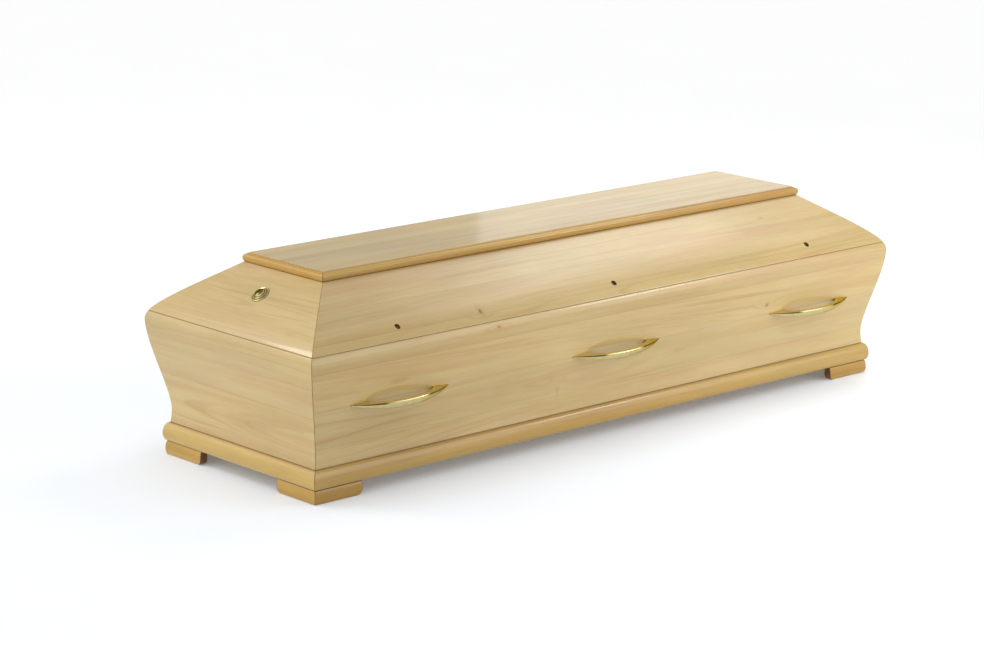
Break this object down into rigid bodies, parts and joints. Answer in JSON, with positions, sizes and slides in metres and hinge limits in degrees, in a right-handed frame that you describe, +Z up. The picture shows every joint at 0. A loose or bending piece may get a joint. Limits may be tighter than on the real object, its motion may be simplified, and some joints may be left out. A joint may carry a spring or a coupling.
{
  "type": "coffin",
  "caption": "Swept-sided wooden coffin with a hollow lift-off lid, moulded base, corner feet, bow handles and sunk lid screws",
  "frame": {"origin": "on the floor under the middle of the coffin", "axes": "+X along the coffin towards its head end, +Y towards its back side, +Z up"},
  "size_m": [2.013, 0.6966, 0.52],
  "materials": {
    "pale_wood": "pale straight-grained wood under satin lacquer",
    "golden_wood": "golden stained mouldings under satin lacquer",
    "brass": "polished brass"
  },
  "bodies": {
    "root": {"box_wall_front": "pale_wood", "box_wall_head": "pale_wood", "box_wall_back": "pale_wood", "box_wall_foot": "pale_wood", "base_moulding_front": "golden_wood", "base_moulding_head": "golden_wood", "base_moulding_back": "golden_wood", "base_moulding_foot": "golden_wood", "bottom_board": "pale_wood", "leg_front_by_foot": "golden_wood", "leg_front_by_head": "golden_wood", "leg_head_by_front": "golden_wood", "leg_head_by_back": "golden_wood", "leg_back_by_head": "golden_wood", "leg_back_by_foot": "golden_wood", "leg_foot_by_back": "golden_wood", "leg_foot_by_front": "golden_wood", "lid_side_front": "pale_wood", "lid_side_head": "pale_wood", "lid_side_back": "pale_wood", "lid_side_foot": "pale_wood", "lid_rim_front": "golden_wood", "lid_rim_head": "golden_wood", "lid_rim_back": "golden_wood", "lid_rim_foot": "golden_wood", "lid_top_board": "pale_wood", "handle_front_1": "brass", "handle_front_2": "brass", "handle_front_3": "brass", "handle_back_1": "brass", "handle_back_2": "brass", "handle_back_3": "brass", "lid_screw_front_1": "brass", "lid_screw_front_2": "brass", "lid_screw_front_3": "brass", "lid_screw_back_1": "brass", "lid_screw_back_2": "brass", "lid_screw_back_3": "brass", "rosette_head": "brass", "rosette_foot": "brass"}
  },
  "joints": []
}
